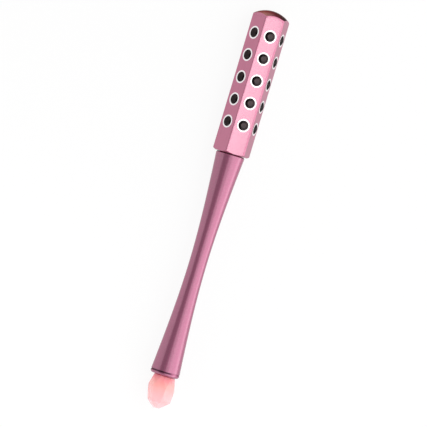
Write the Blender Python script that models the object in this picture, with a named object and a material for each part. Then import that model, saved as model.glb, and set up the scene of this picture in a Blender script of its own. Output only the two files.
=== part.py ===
import bpy
import bmesh
from math import atan2, cos, pi, radians, sin, sqrt, tan
from mathutils import Color, Matrix, Vector

# Facial massage roller. A hexagonal head, set with rows of faceted stones in raised bezels,
# spins on an axle that is fixed in a waisted handle. A faceted quartz tip closes the other end.
# The roller lies on its side. Its axis runs along +X towards the domed end, the tables of the
# lowest row of stones touch z = 0, and the origin is under the middle of its length.
# All lengths are in metres and all angles in radians.

# Lengths along the axis
head_length = 0.0775
head_gap = 0.0004
handle_length = 0.1200
tip_length = 0.0173

# Clearances
static_gap = 0.0002
seat_gap = 0.0002
seam_gap = 0.0001
running_gap = 0.0003
overrun = 0.0010
merge_distance = 0.000001

# Hexagonal head
head_sides = 6
head_across_flats = 0.0176
head_edge_radius = 0.0006
base_land_diameter = 0.0171
base_chamfer_slope = radians(30)
dome_radius = 0.0150
cap_rim_height = 0.0006
cap_spigot_diameter = 0.0116
cap_spigot_length = 0.0040
cap_well_depth = 0.0100

# Stones and their bezels
stone_diameter = 0.0052
stone_depth = 0.0012
stone_proud = 0.0007
stone_crown_height = 0.00055
stone_table_diameter = 0.0029
stone_crown_facets = 8
stone_pitch = 0.01201
first_stone_from_apex = 0.01365
last_stone_margin = 0.0100
stone_clearance = 0.00015
bezel_wall = 0.00070
bezel_height = 0.00015

# Bushes, axle and what holds the head on it
axle_diameter = 0.0050
axle_chamfer = 0.0004
bush_diameter = 0.0090
bush_length = 0.0090
bush_flange_diameter = 0.0114
bush_flange_thickness = 0.0012
thrust_washer_diameter = 0.0104
thrust_washer_thickness = 0.0006
retaining_washer_diameter = 0.0096
retaining_washer_thickness = 0.0008
screw_diameter = 0.0030
screw_length = 0.0080
screw_head_diameter = 0.0055
screw_head_height = 0.0020
screw_key_sides = 6
screw_key_width = 0.0020
screw_key_depth = 0.0012

# Handle and the socket for the axle
handle_end_diameter = 0.0154
handle_waist_diameter = 0.0093
handle_edge_radius = 0.0004
axle_socket_diameter = 0.0090
axle_socket_length = 0.0200
axle_socket_floor = 0.0020

# Collar between the handle and the tip
collar_length = 0.0022
collar_edge_radius = 0.0014
collar_groove_width = 0.0006
collar_groove_depth = 0.0006
collar_spigot_diameter = 0.0100
collar_spigot_length = 0.0080
collar_recess_depth = 0.0014
tip_stud_diameter = 0.0040
tip_stud_length = 0.0120
tip_stud_chamfer = 0.0004

# Quartz tip: six long sides above and below its widest line, with ground corners. It is cut by
# eye, so its sides differ: the two towards -Y stand further out and run down straighter.
tip_width = 0.0140
tip_reach_shares = (1.00, 0.955, 1.00, 1.05, 1.09, 1.02)
tip_widest_drop = 0.0064
tip_turn = radians(36)
tip_upper_slope = radians(4)
tip_upper_corner_slope = radians(17)
tip_lower_slopes = [radians(slope) for slope in (9, 9, 8, 2, -5, 4)]
tip_lower_corner_turn = radians(8)
tip_lower_corner_drop = 0.0018
tip_end_slope = radians(46)
tip_end_facet_height = 0.0026
tip_end_height_shares = (1.30, 1.35, 1.15, 1.75, 1.75, 1.30)
tip_tenon_diameter = 0.0092

# Steps of the round forms
round_steps = 48
small_round_steps = 24
bezel_steps = 20
girdle_steps = 16
edge_steps = 3
dome_steps = 6
corner_steps = 4
grip_steps = 19
smooth_angle = radians(32)
facet_angle = radians(2)


# Radii that several pieces share
head_apothem = head_across_flats / 2
head_corner_radius = head_apothem / cos(pi / head_sides)
axis_height = head_apothem + stone_proud
axle_radius = axle_diameter / 2
bush_radius = bush_diameter / 2
flange_radius = bush_flange_diameter / 2
stone_radius = stone_diameter / 2
pocket_radius = stone_radius + stone_clearance
bezel_radius = pocket_radius + bezel_wall
collar_radius = handle_end_diameter / 2
tip_sides = len(tip_reach_shares)
tip_apothem = tip_width / 2 * cos(pi / tip_sides)


def dome_drop(radius):
    """How far the dome has fallen from its top at a distance from the axis."""
    return dome_radius - sqrt(dome_radius ** 2 - radius ** 2)


# Stations along the axis, from the end of the tip to the top of the dome
overall_length = tip_length + handle_length + head_gap + head_length
tip_end = -overall_length / 2
handle_end = tip_end + tip_length
handle_seam = handle_end + collar_length
handle_top = handle_end + handle_length
head_base = handle_top + head_gap
apex = head_base + head_length
cap_seam = apex - dome_drop(head_corner_radius) - cap_rim_height

# Seats that the bushes, washers and screw share
thrust_washer_base = handle_top + seat_gap
lower_flange_base = thrust_washer_base + thrust_washer_thickness + running_gap
lower_flange_top = lower_flange_base + bush_flange_thickness
cap_well_floor = cap_seam - cap_well_depth
upper_flange_base = cap_well_floor + seat_gap
upper_flange_top = upper_flange_base + bush_flange_thickness
axle_top = upper_flange_top + running_gap
axle_foot = handle_top - axle_socket_length + axle_socket_floor + seat_gap
retaining_washer_base = axle_top + seat_gap
screw_head_base = retaining_washer_base + retaining_washer_thickness + seat_gap
screw_hole_radius = screw_diameter / 2 + static_gap
tip_stud_foot = handle_end + collar_recess_depth - tip_stud_length / 2
tip_stud_top = tip_stud_foot + tip_stud_length


def clear_scene():
    for thing in list(bpy.data.objects):
        bpy.data.objects.remove(thing, do_unlink=True)


def linear(hex_colour):
    """The linear colour of an sRGB hex value."""
    channels = [int(hex_colour[start:start + 2], 16) / 255 for start in (0, 2, 4)]
    return (*Color(channels).from_srgb_to_scene_linear(), 1.0)


def add_material(name, hex_colour, roughness, metallic, transmission=0.0):
    material = bpy.data.materials.new(name)
    material.use_nodes = True
    shader = material.node_tree.nodes["Principled BSDF"]
    shader.inputs["Base Color"].default_value = linear(hex_colour)
    shader.inputs["Roughness"].default_value = roughness
    shader.inputs["Metallic"].default_value = metallic
    shader.inputs["Transmission Weight"].default_value = transmission
    return material


def add_axis(name, parent=None):
    """An empty whose local Z is the roller's axis: its Z points along +X, its X points down."""
    axis = bpy.data.objects.new(name, None)
    bpy.context.collection.objects.link(axis)
    if parent:
        axis.parent = parent
    else:
        axis.location = (0.0, 0.0, axis_height)
        axis.rotation_euler = (0.0, pi / 2, 0.0)
    return axis


def add_piece(name, mesh, material, axis):
    piece = bpy.data.objects.new(name, mesh)
    bpy.context.collection.objects.link(piece)
    piece.parent = axis
    if material and not mesh.materials:
        mesh.materials.append(material)
    return piece


def finish_mesh(name, bm, sharp_angle=smooth_angle):
    """Close an edited mesh: outward faces, smooth where faces meet below the sharp angle."""
    bmesh.ops.recalc_face_normals(bm, faces=bm.faces)
    mesh = bpy.data.meshes.new(name)
    bm.to_mesh(mesh)
    bm.free()
    mesh.shade_smooth()
    mesh.set_sharp_from_angle(angle=sharp_angle)
    return mesh


def flatten_shading(piece):
    """Weigh normals by face size, so that flats stay flat beside their rounded edges."""
    weigh = piece.modifiers.new("weigh_normals", "WEIGHTED_NORMAL")
    weigh.keep_sharp = True


def gather(name, meshes):
    """One mesh that holds several closed bodies, none of which touch."""
    bm = bmesh.new()
    for mesh in meshes:
        bm.from_mesh(mesh)
        bpy.data.meshes.remove(mesh)
    return finish_mesh(name, bm)


def combine(piece, tool, operation):
    """Join, cut or intersect a piece with a tool, which stays as a wire guide."""
    modifier = piece.modifiers.new(tool.name, "BOOLEAN")
    modifier.operation = operation
    modifier.solver = "EXACT"
    modifier.object = tool
    tool.hide_render = True
    tool.display_type = "WIRE"


def turned(name, outline, steps=round_steps):
    """A solid of revolution from (radius, height) points round the local Z axis."""
    bm = bmesh.new()
    points = [bm.verts.new((radius, 0.0, height)) for radius, height in outline]
    sides = [bm.edges.new(pair) for pair in zip(points, points[1:])]
    if outline[0][0] > 0.0:
        sides.append(bm.edges.new((points[-1], points[0])))
    bmesh.ops.spin(bm, geom=points + sides, cent=(0.0, 0.0, 0.0), axis=(0.0, 0.0, 1.0),
                   angle=2 * pi, steps=steps, use_merge=True)
    bmesh.ops.remove_doubles(bm, verts=bm.verts, dist=merge_distance)
    return finish_mesh(name, bm)


def prism(name, sides, radius, low, high, edge_radius=0.0):
    """An upright prism whose first flat faces local +X, with its long edges rounded."""
    bm = bmesh.new()
    ring = []
    for index in range(sides):
        turn = 2 * pi * (index + 0.5) / sides
        ring.append(bm.verts.new((radius * cos(turn), radius * sin(turn), low)))
    base = bm.faces.new(ring)
    grown = bmesh.ops.extrude_face_region(bm, geom=[base])
    top = [part for part in grown["geom"] if isinstance(part, bmesh.types.BMVert)]
    bmesh.ops.translate(bm, verts=top, vec=(0.0, 0.0, high - low))
    if edge_radius > 0.0:
        heights = (high - low) / 2
        upright = [edge for edge in bm.edges if edge.calc_length() > heights
                   and abs(edge.verts[0].co.z - edge.verts[1].co.z) > heights]
        bmesh.ops.bevel(bm, geom=upright, offset=edge_radius * tan(pi / sides),
                        segments=edge_steps, profile=0.5, affect="EDGES")
    return finish_mesh(name, bm)


def grind_facet(bm, turn, slope, reach, height):
    """Grind a flat facet at an angle round local Z. It lies `reach` out at `height`, and leans
    in towards +Z by `slope` from upright."""
    outward = Vector((cos(turn), sin(turn), 0.0))
    normal = outward * cos(slope) + Vector((0.0, 0.0, sin(slope)))
    point = outward * reach + Vector((0.0, 0.0, height))
    cut = bmesh.ops.bisect_plane(bm, geom=bm.verts[:] + bm.edges[:] + bm.faces[:],
                                 dist=merge_distance, plane_co=point, plane_no=normal,
                                 clear_outer=True)
    rim = [part for part in cut["geom_cut"] if isinstance(part, bmesh.types.BMEdge)]
    if rim:
        bmesh.ops.edgeloop_fill(bm, edges=rim)


def grind_facets(bm, count, first_turn, slope, reach, height):
    """Grind like facets at even angles round local Z."""
    for index in range(count):
        grind_facet(bm, first_turn + 2 * pi * index / count, slope, reach, height)


def blank(steps, radius, low, high):
    """A round blank for grinding, as an open bmesh."""
    bm = bmesh.new()
    middle = Matrix.Translation((0.0, 0.0, (low + high) / 2))
    bmesh.ops.create_cone(bm, cap_ends=True, segments=steps, radius1=radius, radius2=radius,
                          depth=high - low, matrix=middle)
    return bm


# Rows of stones on the faces of the head

stone_rows = 1 + int((head_length - first_stone_from_apex - last_stone_margin) / stone_pitch)


def stone_place(face, row):
    """Where a stone sits: local Z points out of its face, and its origin is on the face."""
    spin = Matrix.Rotation(2 * pi * face / head_sides, 4, "Z")
    height = apex - first_stone_from_apex - row * stone_pitch
    seat = Matrix.Translation((head_apothem, 0.0, height))
    return spin @ seat @ Matrix.Rotation(pi / 2, 4, "Y")


def stone_places():
    return [(face, row) for face in range(head_sides) for row in range(stone_rows)]


def stone_discs(name, radius, low, high):
    """One disc at every stone, from `low` to `high` above the faces of the head. A flat of each
    disc, and not a corner, is turned to the next stone in its row."""
    bm = bmesh.new()
    half_step = Matrix.Rotation(pi / bezel_steps, 4, "Z")
    middle = Matrix.Translation((0.0, 0.0, (low + high) / 2)) @ half_step
    for face, row in stone_places():
        bmesh.ops.create_cone(bm, cap_ends=True, segments=bezel_steps, radius1=radius,
                              radius2=radius, depth=high - low,
                              matrix=stone_place(face, row) @ middle)
    return finish_mesh(name, bm)


def faceted_stone():
    """A round stone with an upright girdle, a ring of crown facets and a flat table."""
    bm = blank(girdle_steps, stone_radius, -stone_depth, stone_proud)
    table_reach = stone_table_diameter / 2 * cos(pi / stone_crown_facets)
    crown_slope = atan2(stone_radius - table_reach, stone_crown_height)
    grind_facets(bm, stone_crown_facets, pi / girdle_steps, crown_slope, table_reach, stone_proud)
    return finish_mesh("stone", bm, facet_angle)


# Head


def head_barrel(material, axis):
    """The hexagonal barrel: bored for the bushes, with a bezel and a pocket at each stone."""
    barrel = add_piece("head_barrel", prism("head_barrel", head_sides, head_corner_radius,
                                            head_base, cap_seam - seam_gap, head_edge_radius),
                       material, axis)
    rims = stone_discs("bezel_rims", bezel_radius, -stone_depth, bezel_height)
    combine(barrel, add_piece("bezel_rims", rims, None, axis), "UNION")

    pockets = stone_discs("stone_pockets", pocket_radius, -stone_depth - seat_gap,
                          bezel_height + overrun)
    bore_radius = bush_radius + static_gap
    well_radius = cap_spigot_diameter / 2 + static_gap
    flange_seat_radius = flange_radius + static_gap
    flange_seat = lower_flange_top + seat_gap
    bore = turned("barrel_bore", [
        (0.0, cap_seam + overrun),
        (well_radius, cap_seam + overrun),
        (well_radius, cap_well_floor),
        (bore_radius, cap_well_floor),
        (bore_radius, flange_seat),
        (flange_seat_radius, flange_seat),
        (flange_seat_radius, head_base - overrun),
        (0.0, head_base - overrun),
    ], small_round_steps)

    # The foot is chamfered like a nut: a cone cuts the six corners back to a round land
    land_radius = base_land_diameter / 2
    chamfer_radius = head_corner_radius + overrun
    rise = tan(base_chamfer_slope)
    foot_chamfer = turned("foot_chamfer", [
        (land_radius - overrun / rise, head_base - overrun),
        (chamfer_radius, head_base - overrun),
        (chamfer_radius, head_base + (chamfer_radius - land_radius) * rise),
    ])
    cuts = gather("barrel_cuts", [pockets, bore, foot_chamfer])
    combine(barrel, add_piece("barrel_cuts", cuts, None, axis), "DIFFERENCE")
    flatten_shading(barrel)


def dome_cap(material, axis):
    """The cap: the head's hexagon run up into a dome, with a spigot in the barrel's well."""
    cap = add_piece("dome_cap", prism("dome_cap", head_sides, head_corner_radius, cap_seam,
                                      apex + overrun, head_edge_radius), material, axis)
    edge_radius = head_corner_radius + overrun
    edge_drop = dome_drop(edge_radius)
    spread = Vector((edge_radius, dome_radius - edge_drop)).angle(Vector((0.0, dome_radius)))
    arc = []
    for step in range(dome_steps + 1):
        turn = spread * step / dome_steps
        arc.append((dome_radius * sin(turn), apex - dome_radius + dome_radius * cos(turn)))
    dome = turned("dome_envelope", arc + [
        (edge_radius, cap_seam - edge_drop),
        (0.0, cap_seam - edge_drop),
    ])
    combine(cap, add_piece("dome_envelope", dome, None, axis), "INTERSECT")
    spigot_radius = cap_spigot_diameter / 2
    spigot = turned("cap_spigot", [
        (0.0, cap_seam + overrun),
        (spigot_radius, cap_seam + overrun),
        (spigot_radius, cap_seam - cap_spigot_length),
        (0.0, cap_seam - cap_spigot_length),
    ], small_round_steps)
    combine(cap, add_piece("cap_spigot", spigot, None, axis), "UNION")
    flatten_shading(cap)


def flanged_bush(name, flange_base, sleeve_end, material, axis):
    """A bush whose flange starts at `flange_base` and whose sleeve runs to `sleeve_end`."""
    flange_top = flange_base + bush_flange_thickness
    bore_radius = axle_radius + running_gap
    if sleeve_end > flange_base:
        flange = [(flange_radius, flange_base), (flange_radius, flange_top),
                  (bush_radius, flange_top), (bush_radius, sleeve_end)]
        outline = [(bore_radius, flange_base)] + flange + [(bore_radius, sleeve_end)]
    else:
        flange = [(flange_radius, flange_top), (flange_radius, flange_base),
                  (bush_radius, flange_base), (bush_radius, sleeve_end)]
        outline = [(bore_radius, flange_top)] + flange + [(bore_radius, sleeve_end)]
    add_piece(name, turned(name, outline, small_round_steps), material, axis)


def washer(name, diameter, thickness, hole_radius, base, material, axis):
    outline = [
        (hole_radius, base),
        (diameter / 2, base),
        (diameter / 2, base + thickness),
        (hole_radius, base + thickness),
    ]
    add_piece(name, turned(name, outline, small_round_steps), material, axis)


# Axle and its fastenings


def axle(material, axis):
    """The fixed axle, chamfered at its foot and drilled at its top for the screw."""
    hole_floor = screw_head_base - screw_length - overrun
    outline = [
        (0.0, axle_foot),
        (axle_radius - axle_chamfer, axle_foot),
        (axle_radius, axle_foot + axle_chamfer),
        (axle_radius, axle_top),
        (screw_hole_radius, axle_top),
        (screw_hole_radius, hole_floor),
        (0.0, hole_floor),
    ]
    add_piece("axle", turned("axle", outline, small_round_steps), material, axis)


def retaining_screw(material, axis):
    """A socket-head screw that clamps the washer on the end of the axle."""
    head_top = screw_head_base + screw_head_height
    outline = [
        (0.0, screw_head_base - screw_length),
        (screw_diameter / 2, screw_head_base - screw_length),
        (screw_diameter / 2, screw_head_base),
        (screw_head_diameter / 2, screw_head_base),
        (screw_head_diameter / 2, head_top),
        (0.0, head_top),
    ]
    screw = add_piece("retaining_screw", turned("retaining_screw", outline, small_round_steps),
                      material, axis)
    key_radius = screw_key_width / 2 / cos(pi / screw_key_sides)
    key = prism("screw_key", screw_key_sides, key_radius, head_top - screw_key_depth,
                head_top + overrun)
    combine(screw, add_piece("screw_key", key, None, axis), "DIFFERENCE")


def axle_socket(material, axis):
    """A metal insert in the top of the handle, which takes the foot of the axle."""
    outer = axle_socket_diameter / 2
    inner = axle_radius + static_gap
    foot = handle_top - axle_socket_length
    outline = [
        (0.0, foot),
        (outer, foot),
        (outer, handle_top),
        (inner, handle_top),
        (inner, foot + axle_socket_floor),
        (0.0, foot + axle_socket_floor),
    ]
    add_piece("axle_socket", turned("axle_socket", outline, small_round_steps), material, axis)


# Handle, collar and tip


def grip_radius(height):
    """The handle's outline is a hyperbola: narrowest at its middle, alike at both ends."""
    middle = (handle_seam + handle_top) / 2
    end_radius = handle_end_diameter / 2
    waist_radius = handle_waist_diameter / 2
    share = (height - middle) / (handle_top - middle)
    return sqrt(waist_radius ** 2 + (end_radius ** 2 - waist_radius ** 2) * share ** 2)


def handle_shell(material, axis):
    """The waisted handle, socketed for the axle insert and for the collar's spigot."""
    low = handle_seam + seam_gap
    round_end = handle_top - handle_edge_radius
    grip = []
    for step in range(grip_steps + 1):
        height = low + (round_end - low) * step / grip_steps
        grip.append((grip_radius(height), height))
    edge_centre = grip_radius(round_end) - handle_edge_radius
    edge = []
    for step in range(1, corner_steps + 1):
        turn = pi / 2 * step / corner_steps
        edge.append((edge_centre + handle_edge_radius * cos(turn),
                     round_end + handle_edge_radius * sin(turn)))
    insert_radius = axle_socket_diameter / 2 + static_gap
    insert_floor = handle_top - axle_socket_length - seat_gap
    spigot_radius = collar_spigot_diameter / 2 + static_gap
    spigot_floor = handle_seam + collar_spigot_length + seat_gap
    upper_bore = [(insert_radius, handle_top), (insert_radius, insert_floor), (0.0, insert_floor)]
    lower_bore = [(0.0, spigot_floor), (spigot_radius, spigot_floor), (spigot_radius, low)]
    mesh = turned("handle_shell", lower_bore + grip + edge + upper_bore)
    add_piece("handle_shell", mesh, material, axis)


def end_collar(material, axis):
    """The ring at the handle's end: a groove at its seam and a rounded lower edge."""
    groove_radius = collar_radius - collar_groove_depth
    groove_end = handle_seam - collar_groove_width
    spigot_radius = collar_spigot_diameter / 2
    spigot_top = handle_seam + collar_spigot_length
    recess_radius = tip_tenon_diameter / 2 + static_gap
    recess_floor = handle_end + collar_recess_depth
    stud_radius = tip_stud_diameter / 2 + static_gap
    edge_centre = collar_radius - collar_edge_radius
    edge_height = handle_end + collar_edge_radius
    edge = []
    for step in range(corner_steps + 1):
        turn = pi / 2 * step / corner_steps
        edge.append((edge_centre + collar_edge_radius * cos(turn),
                     edge_height - collar_edge_radius * sin(turn)))
    outline = [
        (stud_radius, spigot_top),
        (spigot_radius, spigot_top),
        (spigot_radius, handle_seam),
        (groove_radius, handle_seam),
        (groove_radius, groove_end),
        (collar_radius, groove_end),
    ] + edge + [
        (recess_radius, handle_end),
        (recess_radius, recess_floor),
        (stud_radius, recess_floor),
    ]
    add_piece("end_collar", turned("end_collar", outline), material, axis)


def tip_stud(material, axis):
    """The metal stud that joins the tip to the collar."""
    radius = tip_stud_diameter / 2
    outline = [
        (0.0, tip_stud_foot),
        (radius - tip_stud_chamfer, tip_stud_foot),
        (radius, tip_stud_foot + tip_stud_chamfer),
        (radius, tip_stud_top - tip_stud_chamfer),
        (radius - tip_stud_chamfer, tip_stud_top),
        (0.0, tip_stud_top),
    ]
    add_piece("tip_stud", turned("tip_stud", outline, small_round_steps), material, axis)


def quartz_tip(material, axis):
    """The faceted tip: long sides that meet at its widest line, ground corners, a blunt end."""
    top = handle_end - seat_gap
    widest = handle_end - tip_widest_drop
    half_side = pi / tip_sides
    reaches = [tip_apothem * share for share in tip_reach_shares]
    bm = blank(round_steps, max(reaches) / cos(half_side) + overrun, tip_end, top)
    for side, reach in enumerate(reaches):
        ahead = (side + 1) % tip_sides
        turn = tip_turn + 2 * half_side * side
        slope = tip_lower_slopes[side]
        end_facet = tip_end + tip_end_facet_height * tip_end_height_shares[side]
        end_reach = reach - (widest - end_facet) * tan(slope)
        grind_facet(bm, turn, tip_upper_slope, reach, widest)
        grind_facet(bm, turn, -slope, reach, widest)
        grind_facet(bm, turn, -tip_end_slope, end_reach, end_facet)

        corner_turn = turn + half_side
        corner_reach = (reach + reaches[ahead]) / 2 / cos(half_side)
        corner_slope = (slope + tip_lower_slopes[ahead]) / 2
        lower_reach = corner_reach - tip_lower_corner_drop * tan(corner_slope)
        grind_facet(bm, corner_turn, tip_upper_corner_slope, corner_reach, widest)
        grind_facet(bm, corner_turn, -corner_slope - tip_lower_corner_turn, lower_reach,
                    widest - tip_lower_corner_drop)
    tip = add_piece("quartz_tip", finish_mesh("quartz_tip", bm, facet_angle), material, axis)

    tenon_radius = tip_tenon_diameter / 2
    tenon_top = handle_end + collar_recess_depth - seat_gap
    tenon = turned("tip_tenon", [
        (0.0, top - overrun),
        (tenon_radius, top - overrun),
        (tenon_radius, tenon_top),
        (0.0, tenon_top),
    ], small_round_steps)
    combine(tip, add_piece("tip_tenon", tenon, None, axis), "UNION")
    hole_radius = tip_stud_diameter / 2 + static_gap
    hole = turned("tip_hole", [
        (0.0, tip_stud_foot - seat_gap),
        (hole_radius, tip_stud_foot - seat_gap),
        (hole_radius, tenon_top + overrun),
        (0.0, tenon_top + overrun),
    ], small_round_steps)
    combine(tip, add_piece("tip_hole", hole, None, axis), "DIFFERENCE")


def build_roller():
    clear_scene()
    plated_pink = add_material("plated_pink_metal", "dc9ab1", 0.22, 1.0)
    handle_pink = add_material("handle_pink_metal", "d48fac", 0.20, 1.0)
    cap_pink = add_material("cap_pink_metal", "c98396", 0.22, 1.0)
    black_stone = add_material("black_stone", "2a2524", 0.12, 0.0)
    rose_quartz = add_material("rose_quartz", "f2b9bd", 0.10, 0.0, 0.35)
    steel = add_material("steel", "c4c7cb", 0.30, 1.0)
    brass = add_material("brass", "c8a25c", 0.35, 1.0)
    acetal = add_material("acetal", "ece8de", 0.45, 0.0)

    handle_axis = add_axis("handle_axis")
    head_axis = add_axis("head_spin_axis", handle_axis)

    handle_shell(handle_pink, handle_axis)
    end_collar(handle_pink, handle_axis)
    quartz_tip(rose_quartz, handle_axis)
    tip_stud(steel, handle_axis)
    axle_socket(brass, handle_axis)
    axle(steel, handle_axis)
    washer("thrust_washer", thrust_washer_diameter, thrust_washer_thickness,
           axle_radius + static_gap, thrust_washer_base, acetal, handle_axis)
    washer("retaining_washer", retaining_washer_diameter, retaining_washer_thickness,
           screw_hole_radius, retaining_washer_base, steel, handle_axis)
    retaining_screw(steel, handle_axis)

    head_barrel(plated_pink, head_axis)
    dome_cap(cap_pink, head_axis)
    flanged_bush("lower_bush", lower_flange_base, lower_flange_top + bush_length, acetal,
                 head_axis)
    flanged_bush("upper_bush", upper_flange_base, upper_flange_base - bush_length, acetal,
                 head_axis)
    stone = faceted_stone()
    for face, row in stone_places():
        piece = add_piece(f"face{face + 1}_stone{row + 1}", stone, black_stone, head_axis)
        piece.matrix_basis = stone_place(face, row)


build_roller()
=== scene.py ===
import bmesh
import bpy
from math import atan, atan2, cos, pi, radians, sin, sqrt, tan
from mathutils import Matrix, Vector


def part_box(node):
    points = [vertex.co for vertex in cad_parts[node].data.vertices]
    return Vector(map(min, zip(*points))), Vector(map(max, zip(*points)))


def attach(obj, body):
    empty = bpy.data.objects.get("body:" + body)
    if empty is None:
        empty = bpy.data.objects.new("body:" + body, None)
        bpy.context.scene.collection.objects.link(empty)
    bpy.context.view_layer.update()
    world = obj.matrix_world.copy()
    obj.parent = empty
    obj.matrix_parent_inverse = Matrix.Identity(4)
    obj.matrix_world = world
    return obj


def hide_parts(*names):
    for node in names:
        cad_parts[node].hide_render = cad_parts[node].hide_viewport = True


# A facial massage roller lying on a pale floor: a six-sided head with five cut black stones in
# silver bezels on each side, a waisted metallic pink handle and a polished rose quartz tip.
# Its axis runs along X, with the domed end at +X. Lengths are in metres and angles in degrees.

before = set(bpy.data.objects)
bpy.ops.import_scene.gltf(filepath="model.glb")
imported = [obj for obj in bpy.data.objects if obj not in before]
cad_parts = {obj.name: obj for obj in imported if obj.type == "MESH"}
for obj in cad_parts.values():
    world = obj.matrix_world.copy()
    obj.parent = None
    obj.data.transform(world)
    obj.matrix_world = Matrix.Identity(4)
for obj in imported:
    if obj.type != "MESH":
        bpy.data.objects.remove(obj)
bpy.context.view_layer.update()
bpy.context.scene.view_settings.view_transform = "Standard"
print("frame loaded:", len(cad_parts), "nodes")

headLow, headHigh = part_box("head_barrel")
capLow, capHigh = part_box("dome_cap")
shellLow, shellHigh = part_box("handle_shell")
collarLow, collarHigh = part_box("end_collar")
socketLow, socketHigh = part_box("axle_socket")
tipLow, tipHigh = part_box("quartz_tip")
studLow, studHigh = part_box("tip_stud")

axisHeight = (collarLow.z + collarHigh.z) / 2
fitGap = 0.0002             # clearance round everything that is let into something else
roundSteps = 144            # sides of a turned piece
mergeDistance = 1e-6        # points closer than this are one


# Small helpers

def hexColour(text):
    # an sRGB hex value as the linear colour that the shaders use
    channels = [int(text[i:i + 2], 16) / 255 for i in (0, 2, 4)]
    return (*[c / 12.92 if c <= 0.04045 else ((c + 0.055) / 1.055) ** 2.4 for c in channels], 1.0)


def addNode(tree, kind, settings=None, values=None, links=None):
    node = tree.nodes.new(kind)
    for name, value in (settings or {}).items():
        setattr(node, name, value)
    for name, value in (values or {}).items():
        node.inputs[name].default_value = value
    for name, socket in (links or {}).items():
        tree.links.new(socket, node.inputs[name])
    return node


def newMaterial(name):
    material = bpy.data.materials.new(name)
    material.use_nodes = True
    tree = material.node_tree
    tree.nodes.clear()
    return material, tree


def finishMaterial(tree, shader):
    addNode(tree, "ShaderNodeOutputMaterial", links={"Surface": shader})


def fillRamp(ramp, places, colours):
    # three colours along a colour ramp
    stops = ramp.color_ramp.elements
    stops[0].position = places[0]
    stops[0].color = hexColour(colours[0])
    stops[1].position = places[2]
    stops[1].color = hexColour(colours[2])
    stops.new(places[1]).color = hexColour(colours[1])


def meshFrom(bm, name, sharpAngle=30):
    bmesh.ops.recalc_face_normals(bm, faces=bm.faces)
    mesh = bpy.data.meshes.new(name)
    bm.to_mesh(mesh)
    bm.free()
    mesh.shade_smooth()
    mesh.set_sharp_from_angle(angle=radians(sharpAngle))
    return mesh


def addPiece(name, mesh, material, body, replaced):
    piece = bpy.data.objects.new(name, mesh)
    bpy.context.scene.collection.objects.link(piece)
    mesh.materials.clear()
    mesh.materials.append(material)
    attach(piece, body)
    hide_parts(*replaced)
    return piece


def applyModifiers(piece):
    # leaves the piece with the mesh that its modifiers make
    graph = bpy.context.evaluated_depsgraph_get()
    piece.data = bpy.data.meshes.new_from_object(piece.evaluated_get(graph))
    piece.modifiers.clear()


def turnedMesh(name, outline, steps=roundSteps):
    # a turned solid from (x, radius) points round the roller's own axis
    bm = bmesh.new()
    points = [bm.verts.new((x, 0.0, axisHeight + radius)) for x, radius in outline]
    sides = [bm.edges.new(pair) for pair in zip(points, points[1:])]
    if outline[0][1] > 0.0:
        sides.append(bm.edges.new((points[-1], points[0])))
    bmesh.ops.spin(bm, geom=points + sides, cent=(0.0, 0.0, axisHeight), axis=(1.0, 0.0, 0.0),
                   angle=2 * pi, steps=steps, use_merge=True)
    bmesh.ops.remove_doubles(bm, verts=bm.verts, dist=mergeDistance)
    return meshFrom(bm, name)


def roundedCorner(centreX, centreRadius, radius, startAngle, endAngle, steps=8):
    # (x, radius) points along an arc, where angle 0 points away from the axis
    # and 90 degrees points to +X
    arc = []
    for step in range(steps + 1):
        angle = radians(startAngle + (endAngle - startAngle) * step / steps)
        arc.append((centreX + radius * sin(angle), centreRadius + radius * cos(angle)))
    return arc


# Materials of the turned and milled aluminium

handleFinish = {
    "colour": "b35b81",
    "deepColour": "98446a",
    "edgeTint": "d88aa8",
    "roughness": 0.45,
    "spread": 0.04,              # how far the roughness strays from that
    "turningPitch": 0.00045,     # real marks are near 0.05 mm: drawn coarser, so that they show
    "turningDrift": 0.125,       # how slowly a mark changes round the grip
    "flakeSize": 0.0006,         # the dye's speckle, also drawn coarser than it is
    "bump": 0.06,
    "bumpHeight": 0.00005,
    "coat": 0.85,
    "coatRoughness": 0.12,
    "coatIor": 2.0,
}

headFinish = {
    "colour": "c66e8f",
    "deepColour": "be6686",
    "edgeTint": "b57a90",
    "roughness": 0.42,
    "spread": 0.03,
    "grainWidth": 0.0005,        # real linishing is near 0.06 mm: drawn coarser, so that it shows
    "grainLength": 0.025,        # along the head
    "cloudSize": 0.0038,
    "bump": 0.04,
    "bumpHeight": 0.00005,
    "coat": 0.9,
    "coatRoughness": 0.06,
    "coatIor": 1.8,
}

domeFinish = {
    "paintedLitColour": "a9766f",      # painted reflection, lightest towards +Y
    "colour": "6e4249",
    "deepColour": "2e131b",      # and painted shade, deepest towards -Y
    "edgeTint": "9c6c72",
    "paintedShadeRange": (-0.1, 0.9),     # from the -Y side of the cap to the +Y side
    "paintedShadeStops": (0.15, 0.5, 0.8),
    "swirlSize": 0.0014,
    "swirlTwist": 1.5,
    "swirlShare": 0.2,           # how much the swirls stir the painted shade
    "roughness": 0.16,
    "spread": 0.03,
    "coat": 0.15,
    "coatRoughness": 0.05,
}

grooveShadeFinish = {
    "colour": "a5607c",
    "deepColour": "4a1c35",      # painted shade in the groove, deepest towards +Y
    "edgeTint": "b08a9a",
    "stainSize": 0.0011,
    "roughness": 0.34,
    "spread": 0.04,
    "coat": 0.4,
    "coatRoughness": 0.12,
    "shadeStartY": -0.0035,         # along Y, where the painted shade starts and is full
    "shadeFullY": -0.0004,
}

# the lip is painted dark all over: painted shade in the gap under the head
lipShadeFinish = {
    "colour": "5a2440",
    "deepColour": "35101f",
    "edgeTint": "7a4a60",
    "stainSize": 0.0011,
    "roughness": 0.40,
    "spread": 0.04,
    "coat": 0.1,
    "coatRoughness": 0.12,
    "shadeStartY": -0.012,          # past the lip's own -Y side, so that all of it is in painted shade
    "shadeFullY": -0.010,
}

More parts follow.
